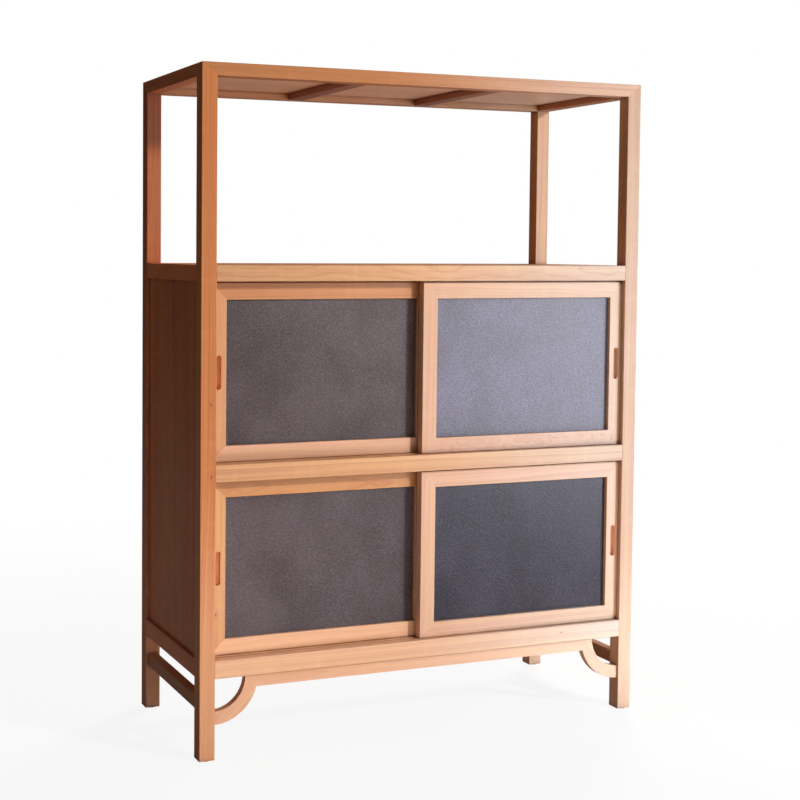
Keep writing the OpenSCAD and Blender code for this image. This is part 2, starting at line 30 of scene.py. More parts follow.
# Camera: a nearly level view from the front left, as the photograph was taken
photoCamera = {
    "place": (-1.451, -2.892, 1.030),  # metres, in the cabinet's own frame
    "yaw": 20.92,  # degrees to the right of straight on
    "pitch": -2.78,
    "roll": 0.33,
    "focal": 1441.9,  # pixels
    "centre": (245.0, 320.0),  # where the lens axis meets the picture
    "picture": 800,  # pixels
    "sensor": 36.0,  # millimetres
    "clipEnd": 60,  # metres
}


def makeCamera(view):
    yaw, pitch, roll = (math.radians(view[key]) for key in ("yaw", "pitch", "roll"))
    ahead = Vector((math.sin(yaw) * math.cos(pitch), math.cos(yaw) * math.cos(pitch), math.sin(pitch)))
    side = Vector((math.cos(yaw), -math.sin(yaw), 0))
    up = side.cross(ahead)
    sideRolled = side * math.cos(roll) + up * math.sin(roll)
    upRolled = up * math.cos(roll) - side * math.sin(roll)
    data = bpy.data.cameras.new("photoCamera")
    camera = bpy.data.objects.new("photoCamera", data)
    bpy.context.scene.collection.objects.link(camera)
    turn = Matrix((sideRolled, upRolled, -ahead)).transposed().to_4x4()
    camera.matrix_world = Matrix.Translation(view["place"]) @ turn
    data.sensor_width = view["sensor"]
    data.lens = view["focal"] / view["picture"] * view["sensor"]
    data.shift_x = 0.5 - view["centre"][0] / view["picture"]
    data.shift_y = view["centre"][1] / view["picture"] - 0.5
    data.clip_end = view["clipEnd"]
    bpy.context.scene.camera = camera


makeCamera(photoCamera)
print("stage 2: camera set")


# Short ways to add shader nodes
def add(tree, kind, wires=None, **settings):
    node = tree.nodes.new("ShaderNode" + kind)
    for key, value in settings.items():
        setattr(node, key, value)
    for key, value in (wires or {}).items():
        if isinstance(value, bpy.types.NodeSocket):
            tree.links.new(value, node.inputs[key])
        else:
            node.inputs[key].default_value = value
    return node


def calc(tree, operation, first, second=0.0, third=0.0, clamp=False):
    wires = {0: first, 1: second, 2: third}
    return add(tree, "Math", wires, operation=operation, use_clamp=clamp).outputs[0]


def vectorCalc(tree, operation, first, second):
    return add(tree, "VectorMath", {0: first, 1: second}, operation=operation).outputs[0]


def remap(tree, value, low, high, lowTo=0.0, highTo=1.0):
    wires = {"Value": value, "From Min": low, "From Max": high, "To Min": lowTo, "To Max": highTo}
    return add(tree, "MapRange", wires, interpolation_type="SMOOTHSTEP").outputs[0]


def blendColour(tree, factor, first, second, mode="MIX"):
    node = tree.nodes.new("ShaderNodeMix")
    node.data_type = "RGBA"
    node.blend_type = mode
    for socket, value in ((node.inputs[0], factor), (node.inputs[6], first), (node.inputs[7], second)):
        if isinstance(value, bpy.types.NodeSocket):
            tree.links.new(value, socket)
        else:
            socket.default_value = value
    return node.outputs[2]


def newGroup(name, inputs, outputs):
    tree = bpy.data.node_groups.new(name, "ShaderNodeTree")
    for label, kind, value in inputs:
        socket = tree.interface.new_socket(name=label, in_out="INPUT", socket_type="NodeSocket" + kind)
        socket.default_value = value
    for label, kind in outputs:
        tree.interface.new_socket(name=label, in_out="OUTPUT", socket_type="NodeSocket" + kind)
    return tree, tree.nodes.new("NodeGroupInput").outputs, tree.nodes.new("NodeGroupOutput").inputs


def useGroup(tree, group, wires):
    node = tree.nodes.new("ShaderNodeGroup")
    node.node_tree = group
    for key, value in wires.items():
        if isinstance(value, bpy.types.NodeSocket):
            tree.links.new(value, node.inputs[key])
        else:
            node.inputs[key].default_value = value
    return node.outputs


# Growth rings of a sawn board: X runs along the grain, and the pith lies beside the board
ringShape = {
    "strayGain": 4.0,  # how strongly a wave moves a ring
    "unevenScale": 0.31,  # changes of growth per ring
    "uneven": 2.4,  # rings that good and bad years shift
    "lateEnd": (0.93, 1.0),  # where the dark late wood ends within a ring
}


def makeGrowthRings():
    tree, given, result = newGroup("growthRings", [
        ("Vector", "Vector", (0, 0, 0)),
        ("Pith", "Vector", (0, 0.05, -0.06)),  # metres from the board's middle
        ("Ring Width", "Float", 0.003),
        ("Waves", "Vector", (2.2, 9, 9)),  # how often a ring strays, per metre
        ("Wander", "Float", 0.004),  # metres that it strays
        ("Sharpness", "Float", 3.0),
        ("Seed", "Float", 0.0),
    ], [("Late Wood", "Float"), ("Ring Tone", "Float")])
    slow = vectorCalc(tree, "MULTIPLY", given["Vector"], given["Waves"])
    sway = add(tree, "TexNoise", {"Vector": slow, "W": given["Seed"], "Scale": 1.0, "Detail": 2.0,
                                  "Roughness": 0.45}, noise_dimensions="4D")
    strays = calc(tree, "MULTIPLY", calc(tree, "SUBTRACT", sway.outputs[0], 0.5), given["Wander"])
    fromPith = vectorCalc(tree, "SUBTRACT", given["Vector"], given["Pith"])
    flat = vectorCalc(tree, "MULTIPLY", fromPith, (0, 1, 1))
    radius = add(tree, "VectorMath", {0: flat}, operation="LENGTH").outputs["Value"]
    strayed = calc(tree, "MULTIPLY_ADD", strays, ringShape["strayGain"], radius)
    turns = calc(tree, "DIVIDE", strayed, given["Ring Width"])
    years = {"W": turns, "Scale": ringShape["unevenScale"], "Detail": 1.0}
    uneven = add(tree, "TexNoise", years, noise_dimensions="1D").outputs[0]
    phase = calc(tree, "MULTIPLY_ADD", uneven, ringShape["uneven"], turns)
    within = calc(tree, "FRACT", phase)
    rise = calc(tree, "POWER", within, given["Sharpness"])
    fall = remap(tree, within, *ringShape["lateEnd"], 1.0, 0.0)
    tree.links.new(calc(tree, "MULTIPLY", rise, fall), result["Late Wood"])
    ringSeed = calc(tree, "ADD", calc(tree, "FLOOR", phase), given["Seed"])
    tone = add(tree, "TexWhiteNoise", {"W": ringSeed}, noise_dimensions="1D").outputs[0]
    tree.links.new(tone, result["Ring Tone"])
    return tree


# Fibres, pores, bands and a faint cross figure, all drawn out along X
fibreShape = {  # how many per metre along and across the grain, how fine, and where each begins
    "Bands": {"scale": (0.9, 62, 62), "detail": 1.0, "low": 0.38, "high": 0.62},
    "Streaks": {"scale": (2.6, 260, 260), "detail": 2.0},
    "Fibres": {"scale": (22, 1100, 1100), "detail": 3.0, "roughness": 0.6},
    "Drift": {"scale": (1.1, 7, 7), "detail": 1.0},
    "Figure": {"scale": (46, 14, 14), "detail": 1.5, "low": 0.55, "high": 0.8},
}
poreShape = {"scale": (240, 2600, 2600), "rim": (0.14, 0.3)}  # per metre, and where a pore ends


def makeFibres():
    outputs = ("Bands", "Streaks", "Fibres", "Pores", "Drift", "Figure")
    tree, given, result = newGroup("woodFibres", [
        ("Vector", "Vector", (0, 0, 0)),
        ("Seed", "Float", 0.0),
    ], [(name, "Float") for name in outputs])

    def stretched(output, scale, detail, roughness=0.5, low=0.3, high=0.7):
        vector = add(tree, "Mapping", {"Vector": given["Vector"], "Scale": scale}).outputs[0]
        wires = {"Vector": vector, "W": given["Seed"], "Scale": 1.0, "Detail": detail,
                 "Roughness": roughness}
        noise = add(tree, "TexNoise", wires, noise_dimensions="4D").outputs[0]
        tree.links.new(remap(tree, noise, low, high), result[output])

    for output, shape in fibreShape.items():
        stretched(output, **shape)
    dashes = add(tree, "Mapping", {"Vector": given["Vector"], "Scale": poreShape["scale"]}).outputs[0]
    cells = add(tree, "TexVoronoi", {"Vector": dashes, "Scale": 1.0, "Randomness": 1.0})
    pores = remap(tree, cells.outputs["Distance"], *poreShape["rim"], 1.0, 0.0)
    tree.links.new(pores, result["Pores"])
    return tree


# Patches that keep the painted edge highlights and the painted corner shade from looking even
def makePatches(tree, vector, size):
    scale = calc(tree, "DIVIDE", 1.0, size)
    return add(tree, "TexNoise", {"Vector": vector, "Scale": scale, "Detail": 3.0}).outputs[0]


# Painted highlight along the edges of a piece, where a rounded edge would catch the light, stronger in
# patches
edgeHighlighting = {
    "bend": (0.8, 0.995),  # how far the surface turns at an edge
    "patches": (0.3, 0.6),
    "least": 0.45,  # painted highlight left between the patches
}


def makeEdgeHighlights():
    tree, given, result = newGroup("edgeHighlights", [
        ("Reach", "Float", 0.002),  # metres
        ("Highlight Patch Size", "Float", 0.03),
        ("Vector", "Vector", (0, 0, 0)),
    ], [("Highlight", "Float")])
    rounded = add(tree, "Bevel", {"Radius": given["Reach"]}, samples=4).outputs[0]
    plain = add(tree, "NewGeometry").outputs["Normal"]
    agree = add(tree, "VectorMath", {0: rounded, 1: plain}, operation="DOT_PRODUCT").outputs["Value"]
    edge = remap(tree, agree, *edgeHighlighting["bend"], 1.0, 0.0)
    patches = makePatches(tree, given["Vector"], given["Highlight Patch Size"])
    patchy = remap(tree, patches, *edgeHighlighting["patches"], edgeHighlighting["least"], 1.0)
    tree.links.new(calc(tree, "MULTIPLY", edge, patchy), result["Highlight"])
    return tree


# Painted shade in inner corners and narrow gaps, deeper in patches
cornerShadeShape = {
    "shelter": (0.4, 0.92),  # how open a corner is
    "patches": (0.3, 0.6),
    "least": 0.65,  # painted shade left between the patches
}


def makeCornerShading():
    tree, given, result = newGroup("cornerShading", [
        ("Reach", "Float", 0.01),  # metres
        ("Patch Size", "Float", 0.05),
        ("Vector", "Vector", (0, 0, 0)),
    ], [("Corner Shade", "Float")])
    shelter = add(tree, "AmbientOcclusion", {"Distance": given["Reach"]}, samples=4).outputs["AO"]
    deep = remap(tree, shelter, *cornerShadeShape["shelter"], 1.0, 0.0)
    patches = makePatches(tree, given["Vector"], given["Patch Size"])
    patchyShade = remap(tree, patches, *cornerShadeShape["patches"], cornerShadeShape["least"], 1.0)
    tree.links.new(calc(tree, "MULTIPLY", deep, patchyShade), result["Corner Shade"])
    return tree


# A small round knot with a dark heart and grain that darkens round it
knotShape = {
    "ragged": 0.9,  # how far its rim strays, in radii
    "raggedScale": 420.0,  # per metre
    "heart": (0.5, 1.1),  # radii over which the heart ends
    "halo": (0.8, 4.5),  # radii over which the dark grain ends
}


def makePinKnot():
    tree, given, result = newGroup("pinKnot", [
        ("Vector", "Vector", (0, 0, 0)),
        ("Place", "Vector", (0, 0, 0)),
        ("Draw", "Vector", (1, 1, 1)),  # below 1 along the grain makes it longer
        ("Radius", "Float", 0.002),
    ], [("Heart", "Float"), ("Halo", "Float")])
    away = vectorCalc(tree, "SUBTRACT", given["Vector"], given["Place"])
    rim = {"Vector": given["Vector"], "Scale": knotShape["raggedScale"], "Detail": 2.0}
    warp = add(tree, "TexNoise", rim).outputs[0]
    drawn = vectorCalc(tree, "MULTIPLY", away, given["Draw"])
    distance = add(tree, "VectorMath", {0: drawn}, operation="LENGTH").outputs["Value"]
    size = calc(tree, "DIVIDE", distance, given["Radius"])
    rough = calc(tree, "MULTIPLY_ADD", calc(tree, "SUBTRACT", warp, 0.5), knotShape["ragged"], size)
    tree.links.new(remap(tree, rough, *knotShape["heart"], 1.0, 0.0), result["Heart"])
    tree.links.new(remap(tree, rough, *knotShape["halo"], 1.0, 0.0), result["Halo"])
    return tree


# Uneven oil and the marks of handling, on any surface
def makeHandMarks():
    tree, given, result = newGroup("handMarks", [
        ("Vector", "Vector", (0, 0, 0)),
        ("Size", "Float", 0.06),
        ("Seed", "Float", 0.0),
    ], [("Smear", "Float")])
    scale = calc(tree, "DIVIDE", 1.0, given["Size"])
    wires = {"Vector": given["Vector"], "W": given["Seed"], "Scale": scale, "Detail": 4.0,
             "Roughness": 0.62}
    smear = add(tree, "TexNoise", wires, noise_dimensions="4D").outputs[0]
    tree.links.new(remap(tree, smear, 0.3, 0.7), result["Smear"])
    return tree


growthRings = makeGrowthRings()
woodFibres = makeFibres()
pinKnot = makePinKnot()
handMarks = makeHandMarks()
edgeHighlights = makeEdgeHighlights()
cornerShading = makeCornerShading()
print("stage 3: shader groups made")


# Boards: what each piece is sawn from
cherry = {
    "ringWidth": (0.0032, 0.0065),  # metres
    "pithAway": (0.04, 0.08),  # metres from the board's middle
    "lean": 1.6,  # degrees that the grain may run askew
    "batch": 0.06,  # how much boards of one batch differ
    "waves": (2.2, 9, 9),  # per metre
    "wander": 0.0045,  # metres
    "lines": 1.0,  # strength of the ring lines
    "sharpness": 3.0,
    "weights": {"Late Wood": 0.40, "Ring Tone": 0.26, "Bands": 0.30, "Streaks": 0.30, "Fibres": 0.14,
                "Pores": 0.07, "Drift": 0.24, "Figure": -0.22},
    "shade": -0.20,  # darkness before any of these is added
    "edgeHighlight": 0.30,  # how much paler the painted highlight makes an edge
    "edgeReach": 0.0018,  # metres
    "roughness": (0.38, 0.50),  # where it is smooth and where it is matt
    "fibreRoughness": 0.06,  # what the fibres add
    "bump": 0.16,
    "bumpDepth": 0.0004,  # metres
    "poreDepth": -0.6,  # as shares of a fibre's height, like the next one and the knots' depth
    "ringHeight": 0.35,
    "honey": 0.5,  # how far the pale bands turn to a yellower wood
    "honeyTint": (0.96, 1.0, 0.82, 1),
    "honeyBands": (0.9, 0.2),  # from a dark band to a pale one
    "cornerShade": (0.30, 0.17, 0.11, 1),  # painted shade in corners: what it leaves of the wood's colour
    "cornerShadeDepth": 0.68,
    "pull": (1.30, 1.05, 0.82, 1),  # painted light on the outer stiles: the corner mask lifts their finger-pull hollows and inner corners, which lie in shade
    "cornerShadeReach": 0.012,  # metres
    "footLight": (0.84, 0.49, 0.30, 1),  # painted light: the posts paler towards the floor, where more light falls on them
    "footLightDepth": 0.53,
    "footLightReach": (0.02, 0.60),  # metres above the floor over which that fades out
    "glare": (0.88, 1.10, 1.42, 1),  # painted sheen: the colour paler and cooler towards the right end, where the window's glare falls
    "glareReach": (-0.15, 0.515),  # metres across the front over which that comes in
    "sunny": (-0.9, -0.3),  # how far a face looks right, towards the lamps: one that looks left gets neither the painted light at the feet nor the painted glare
    "knot": (0.12, 0.05, 0.03, 1),
    "knotHeart": 0.85,  # how far the heart takes that colour
    "knotHalo": 0.4,  # how far the wood round it darkens
    "knotDepth": -1.2,
    "specular": 0.5,
    "wax": 0.4,  # a waxed coat over the oil
    "waxRoughness": 0.36,
}
tones = {  # pale and dark wood of each batch of boards, as linear colours; several batches are lit and shaded copies of one wood, painted light and shade as marked
    "left": ((0.70, 0.256, 0.078), (0.49, 0.144, 0.040)),
    "warm": ((0.55, 0.218, 0.080), (0.40, 0.128, 0.042)),
    # a deeper copy for the left doors' top rails: painted shadow under the rails in front of them
    "amber": ((0.67, 0.315, 0.140), (0.50, 0.200, 0.082)),
    # rose, blush, peach and pink: paler, pinker copies for pieces that catch more light, painted glare
    # and painted light
    "rose": ((0.71, 0.400, 0.248), (0.53, 0.265, 0.150)),
    "blush": ((0.72, 0.365, 0.200), (0.535, 0.232, 0.116)),
    "pale": ((0.77, 0.420, 0.225), (0.57, 0.262, 0.128)),
    "peach": ((0.88, 0.520, 0.355), (0.71, 0.375, 0.235)),
    "pink": ((0.76, 0.452, 0.315), (0.62, 0.330, 0.212)),
    "dark": ((0.84, 0.260, 0.090), (0.56, 0.140, 0.045)),
    "panel": ((0.70, 0.225, 0.072), (0.46, 0.120, 0.035)),
    # brown and umber: darker copies for the rear left post and the battens, which stand in shade:
    # painted shade
    "brown": ((0.62, 0.195, 0.075), (0.42, 0.110, 0.038)),
    "umber": ((0.37, 0.125, 0.056), (0.25, 0.075, 0.033)),
}
grainTurn = {  # rotations that lay the grain axis of a piece along X
    "x": (0, 0, 0),
    "y": (0, 0, -math.pi / 2),
    "z": (0, math.pi / 2, 0),
    "riseRight": (0, math.pi / 4, 0),
    "riseLeft": (0, -math.pi / 4, 0),
}
wildBoards = {  # boards sawn flat near the heart, with looping rings
    "upper_right_bottom_rail": {"pith": (0, 0.045, 0.004), "ringWidth": 0.0046, "waves": (19, 34, 34),
                                "wander": 0.0060, "lines": 2.6, "sharpness": 7.0},
    "lower_left_top_rail": {"pith": (0, 0.060, -0.010), "ringWidth": 0.0050, "waves": (9, 16, 16),
                            "lines": 1.5},
    "shelf_front_rail": {"pith": (0, 0.070, 0.020), "ringWidth": 0.0052, "waves": (6, 12, 12),
                         "lines": 1.2},
    "post_front_left": {"pith": (0, 0.030, 0.052), "ringWidth": 0.0048, "waves": (1.6, 8, 8),
                        "lines": 1.3},
}
railGlare = {  # each rail across the front has its own painted glare at the right end
    "top_front_rail": (1.26, 2.20, 4.90, 1),
    "shelf_front_rail": (0.86, 1.24, 2.05, 1),
    "mid_front_rail": (0.86, 1.24, 2.05, 1),
    "bottom_front_rail": (0.77, 1.12, 1.56, 1),
}


def cherryWood(piece, grain, tone, knots=()):
    lot = random.Random(piece)
    seed = lot.uniform(0, 40)
    low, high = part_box(piece)
    middle = (low + high) / 2
    angle = lot.uniform(0, 2 * math.pi)
    away = lot.uniform(*cherry["pithAway"])
    pith = (0, away * math.cos(angle), away * math.sin(angle))
    most = cherry["lean"]
    lean = (0, math.radians(lot.uniform(-most, most)), math.radians(lot.uniform(-most, most)))
    batch = lot.uniform(-cherry["batch"], cherry["batch"])
    sawn = {"pith": pith, "ringWidth": lot.uniform(*cherry["ringWidth"]), "waves": cherry["waves"],
            "wander": cherry["wander"], "lines": cherry["lines"], "sharpness": cherry["sharpness"]}
    sawn.update(wildBoards.get(piece, {}))
    material = bpy.data.materials.new(piece + "Wood")
    material.use_nodes = True
    tree = material.node_tree
    shader = tree.nodes["Principled BSDF"]
    where = add(tree, "TexCoord").outputs["Object"]
    centred = vectorCalc(tree, "SUBTRACT", where, tuple(middle))
    turned = add(tree, "Mapping", {"Vector": centred, "Rotation": grainTurn[grain]}).outputs[0]
    leaned = add(tree, "Mapping", {"Vector": turned, "Rotation": lean}).outputs[0]
    rings = useGroup(tree, growthRings, {"Vector": leaned, "Pith": sawn["pith"],
                                         "Ring Width": sawn["ringWidth"], "Waves": sawn["waves"],
                                         "Wander": sawn["wander"], "Sharpness": sawn["sharpness"],
                                         "Seed": seed})
    fibres = useGroup(tree, woodFibres, {"Vector": turned, "Seed": seed})
    marks = useGroup(tree, handMarks, {"Vector": where, "Seed": seed})
    highlights = useGroup(tree, edgeHighlights, {"Vector": where, "Reach": cherry["edgeReach"]})
    shade = cherry["shade"] + batch
    for name, weight in cherry["weights"].items():
        source = rings if name in ("Late Wood", "Ring Tone") else fibres
        weight *= sawn["lines"] if name == "Late Wood" else 1
        shade = calc(tree, "MULTIPLY_ADD", source[name], weight, shade)
    # painted highlight: the wood paler along its edges
    shade = calc(tree, "MULTIPLY_ADD", highlights["Highlight"], -cherry["edgeHighlight"], shade)
    pale, dark = (tuple(colour) + (1,) for colour in tones[tone])
    colour = blendColour(tree, shade, pale, dark)
    honey = calc(tree, "MULTIPLY", remap(tree, fibres["Bands"], *cherry["honeyBands"]), cherry["honey"])
    colour = blendColour(tree, honey, colour, cherry["honeyTint"], mode="MULTIPLY")
    spot = add(tree, "SeparateXYZ", {0: where}).outputs
    facing = add(tree, "SeparateXYZ", {0: add(tree, "NewGeometry").outputs["Normal"]}).outputs["X"]
    # painted light: faces that turn away from the lamps get none of the painted foot light or glare
    sunny = remap(tree, facing, *cherry["sunny"])
    if piece in posts:
        # painted light: the posts' faces that look towards the lamps get paler towards the floor
        footLit = remap(tree, spot["Z"], *cherry["footLightReach"], cherry["footLightDepth"], 0.0)
        colour = blendColour(tree, calc(tree, "MULTIPLY", footLit, sunny), colour, cherry["footLight"])
    # painted sheen: faces that look towards the lamps get paler and cooler towards the right end
    glareShare = calc(tree, "MULTIPLY", remap(tree, spot["X"], *cherry["glareReach"]), sunny)
    colour = blendColour(tree, glareShare, colour, railGlare.get(piece, cherry["glare"]), mode="MULTIPLY")
    height = calc(tree, "MULTIPLY_ADD", fibres["Pores"], cherry["poreDepth"], fibres["Fibres"])
    height = calc(tree, "MULTIPLY_ADD", rings["Late Wood"], cherry["ringHeight"], height)
    for place, radius in knots:
        draw = (0.5, 1, 1) if grain == "x" else (1, 1, 0.5)
        knot = useGroup(tree, pinKnot, {"Vector": where, "Place": place, "Draw": draw,
                                        "Radius": radius})
        halo = calc(tree, "MULTIPLY", knot["Halo"], cherry["knotHalo"])
        heart = calc(tree, "MULTIPLY", knot["Heart"], cherry["knotHeart"])
        colour = blendColour(tree, halo, colour, dark)
        colour = blendColour(tree, heart, colour, cherry["knot"])
        height = calc(tree, "MULTIPLY_ADD", knot["Heart"], cherry["knotDepth"], height)
    # painted shade in inner corners and gaps; on the outer stiles it paints light instead
    corners = useGroup(tree, cornerShading, {"Vector": where, "Reach": cherry["cornerShadeReach"]})
    # painted light: outer stiles are lifted where the corner mask finds their hollows
    shadeOrLight = cherry["pull"] if piece.endswith("outer_stile") else cherry["cornerShade"]
    cornerShade = calc(tree, "MULTIPLY", corners["Corner Shade"], cherry["cornerShadeDepth"])
    colour = blendColour(tree, cornerShade, colour, shadeOrLight, mode="MULTIPLY")
    tree.links.new(colour, shader.inputs["Base Color"])
    smooth, matt = cherry["roughness"]
    rough = remap(tree, marks["Smear"], 0.0, 1.0, smooth, matt)
    rough = calc(tree, "MULTIPLY_ADD", fibres["Fibres"], cherry["fibreRoughness"], rough)
    tree.links.new(rough, shader.inputs["Roughness"])
    shader.inputs["Specular IOR Level"].default_value = cherry["specular"]
    shader.inputs["Coat Weight"].default_value = cherry["wax"]
    shader.inputs["Coat Roughness"].default_value = cherry["waxRoughness"]
    bump = add(tree, "Bump", {"Strength": cherry["bump"], "Distance": cherry["bumpDepth"],
                              "Height": height})
    tree.links.new(bump.outputs[0], shader.inputs["Normal"])
    return material


# Which way the grain runs in each piece, and from which batch it comes; some batches paint light or
# shade, as the tones say
# the right posts come from paler, pinker batches, painted glare; the rear left post from a darker one,
# painted shade
posts = {
    "post_front_left": "left", "post_rear_left": "brown",
    "post_front_right": "rose", "post_rear_right": "blush",
}
boards = {
    "top_front_rail": ("x", "warm"), "top_back_rail": ("x", "pale"),
    "top_left_rail": ("y", "dark"), "top_right_rail": ("y", "warm"),
    "top_panel": ("x", "peach"), "top_battens": ("y", "umber"),
    "shelf_front_rail": ("x", "pale"), "shelf_back_rail": ("x", "warm"),
    "shelf_left_rail": ("y", "dark"), "shelf_right_rail": ("y", "pale"),
    "shelf_panel": ("x", "warm"), "shelf_battens": ("y", "warm"),
    "mid_front_rail": ("x", "pale"), "mid_back_rail": ("x", "warm"),
    "inner_shelf": ("x", "dark"), "inner_shelf_cleats": ("y", "dark"),
    "bottom_front_rail": ("x", "peach"), "bottom_back_rail": ("x", "warm"),
    "bottom_left_rail": ("y", "dark"), "bottom_right_rail": ("y", "pale"),
    "bottom_panel": ("x", "warm"),
    "side_panel_left": ("z", "panel"), "side_panel_right": ("z", "warm"),
    "back_panel_upper": ("z", "left"), "back_panel_lower": ("z", "left"),
    "door_jambs": ("z", "warm"), "front_apron": ("x", "peach"),
    "bracket_left": ("riseRight", "peach"), "bracket_right": ("riseLeft", "peach"),
    "side_stretchers": ("y", "warm"),
}
# the right doors come from a paler, pinker batch: painted glare from the window
doorTones = {"left": "pale", "right": "pink"}
doorBoards = {  # door pieces from another batch than the rest of their door: the left doors' top rails deeper, painted shadow under the rails in front of them; the others paler, painted light
    "upper_left_top_rail": "amber", "upper_left_bottom_rail": "peach",
    "lower_left_top_rail": "amber", "lower_left_bottom_rail": "peach",
    "lower_right_outer_stile": "peach",
}
doorGrain = {"outer_stile": "z", "inner_stile": "z", "top_rail": "x", "bottom_rail": "x", "beads": "x"}
pinKnots = {  # where the small knots lie, and their radius, in metres
    "post_front_left": [((-0.4930, -0.200, 0.7215), 0.0017), ((-0.4915, -0.200, 0.5765), 0.0021)],
    "lower_left_outer_stile": [((-0.4680, -0.1635, 0.2880), 0.0019)],
    "bottom_front_rail": [((0.3300, -0.200, 0.1890), 0.0012)],
}


def finishBoards():
    for piece, tone in posts.items():
        boards[piece] = ("z", tone)
    for level in ("upper", "lower"):
        for side, tone in doorTones.items():
            for part, grain in doorGrain.items():
                name = f"{level}_{side}_{part}"
                boards[name] = (grain, doorBoards.get(name, tone))
    for piece, (grain, tone) in boards.items():
        dress(nodes[piece], cherryWood(piece, grain, tone, pinKnots.get(piece, ())))


def dress(piece, material):
    piece.data.materials.clear()
    piece.data.materials.append(material)


finishBoards()
print("stage 4: wood finished")


# Door glass: finely pebbled, drawn in streaks, slightly misty, and with painted glints
glass = {
    "colours": {  # linear, before streaks, mist and painted glints
        "upper_left": (0.170, 0.134, 0.152, 1),
        # painted reflection: the upper right pane paler and bluer, as if it mirrored the window
        "upper_right": (0.310, 0.312, 0.425, 1),
        "lower_left": (0.200, 0.164, 0.190, 1),
        "lower_right": (0.088, 0.082, 0.140, 1),
    },
    "streaks": (180, 180, 330),  # per metre
    "streakEdge": (0.38, 0.66),  # where a streak begins and where it is full
    "mottle": 1.7,  # how much paler the drawn streaks are
    "milk": 0.02,  # white in the streaks
    "cloud": (1.28, 1.30, 1.34, 1),  # how much paler the misty patches are
    "cloudSize": 0.09,  # metres
    "cloudSeed": 3.0,
    "paintedGlint": (0.95, 0.96, 1.0, 1),  # painted glint: a pebble lighter, as if it caught the light
    "paintedGlintDepth": 0.45,
    "paintedGlintShare": 0.24,  # of the pebbles
    "crown": (0.08, 0.30),  # the part of a pebble that takes the painted glint
    "pebble": 0.0045,  # metres across
    "scatter": 0.9,  # how unevenly the pebbles lie
    "roughness": (0.28, 0.38),
    "transmission": 0.80,
    "refraction": 1.5,
    "specular": 0.35,
    "bump": 0.35,
    "bumpDepth": 0.0006,  # metres
    "streakHeight": 0.5,  # as a share of a pebble's height
}


def pebbledGlass(door):
    material = bpy.data.materials.new(door + "PebbledGlass")
    material.use_nodes = True
    tree = material.node_tree
    shader = tree.nodes["Principled BSDF"]
    where = add(tree, "TexCoord").outputs["Object"]
    marks = useGroup(tree, handMarks, {"Vector": where, "Size": glass["cloudSize"],
                                       "Seed": glass["cloudSeed"]})
    wires = {"Vector": where, "Scale": 1 / glass["pebble"], "Randomness": glass["scatter"]}
    pebbles = add(tree, "TexVoronoi", wires)
    lit = add(tree, "SeparateColor", {"Color": pebbles.outputs["Color"]}).outputs["Red"]
    crown = remap(tree, pebbles.outputs["Distance"], *glass["crown"], 1.0, 0.0)
    paintedGlint = calc(tree, "MULTIPLY", remap(tree, lit, 1 - glass["paintedGlintShare"], 1.0), crown)
    drawn = add(tree, "Mapping", {"Vector": where, "Scale": glass["streaks"]}).outputs[0]
    wires = {"Vector": drawn, "Scale": 1.0, "Detail": 3.0, "Roughness": 0.65}
    streaks = add(tree, "TexNoise", wires).outputs[0]
    base = glass["colours"][door]
    milky = tuple(value * glass["mottle"] + glass["milk"] for value in base[:3]) + (1,)
    colour = blendColour(tree, remap(tree, streaks, *glass["streakEdge"]), base, milky)
    colour = blendColour(tree, marks["Smear"], colour, glass["cloud"], mode="MULTIPLY")
    # painted glint: some pebbles lighter, as if they caught the light
    paintedGlint = calc(tree, "MULTIPLY", paintedGlint, glass["paintedGlintDepth"])
    colour = blendColour(tree, paintedGlint, colour, glass["paintedGlint"])
    tree.links.new(colour, shader.inputs["Base Color"])
    low, high = glass["roughness"]
    tree.links.new(remap(tree, marks["Smear"], 0, 1, low, high), shader.inputs["Roughness"])
    shader.inputs["Transmission Weight"].default_value = glass["transmission"]
    shader.inputs["IOR"].default_value = glass["refraction"]
    shader.inputs["Specular IOR Level"].default_value = glass["specular"]
    height = calc(tree, "MULTIPLY_ADD", streaks, glass["streakHeight"], pebbles.outputs["Distance"])
    bump = add(tree, "Bump", {"Strength": glass["bump"], "Distance": glass["bumpDepth"],
                              "Height": height})
    tree.links.new(bump.outputs[0], shader.inputs["Normal"])
    return material


def finishGlass():
    for door in glass["colours"]:
        dress(nodes[door + "_glass"], pebbledGlass(door))


finishGlass()
print("stage 5: glass finished")


# Felt pads under the posts
felt = {
    "colour": (0.035, 0.028, 0.024, 1),
    "fuzz": (0.09, 0.075, 0.065, 1),
    "fibre": 1500.0,  # per metre
    "matting": 1.5,
    "roughness": 0.95,
    "bump": 0.8,
    "bumpDepth": 0.0005,  # metres
}


def feltPads():
    material = bpy.data.materials.new("pressedFelt")
    material.use_nodes = True
    tree = material.node_tree
    shader = tree.nodes["Principled BSDF"]
    where = add(tree, "TexCoord").outputs["Object"]
    wires = {"Vector": where, "Scale": felt["fibre"], "Detail": 4.0, "Distortion": felt["matting"]}
    matted = add(tree, "TexNoise", wires).outputs[0]
    colour = blendColour(tree, matted, felt["colour"], felt["fuzz"])
    tree.links.new(colour, shader.inputs["Base Color"])
    shader.inputs["Roughness"].default_value = felt["roughness"]
    bump = add(tree, "Bump", {"Strength": felt["bump"], "Distance": felt["bumpDepth"],
                              "Height": matted})
    tree.links.new(bump.outputs[0], shader.inputs["Normal"])
    return material


dress(nodes["foot_pads"], feltPads())
print("stage 6: felt finished")


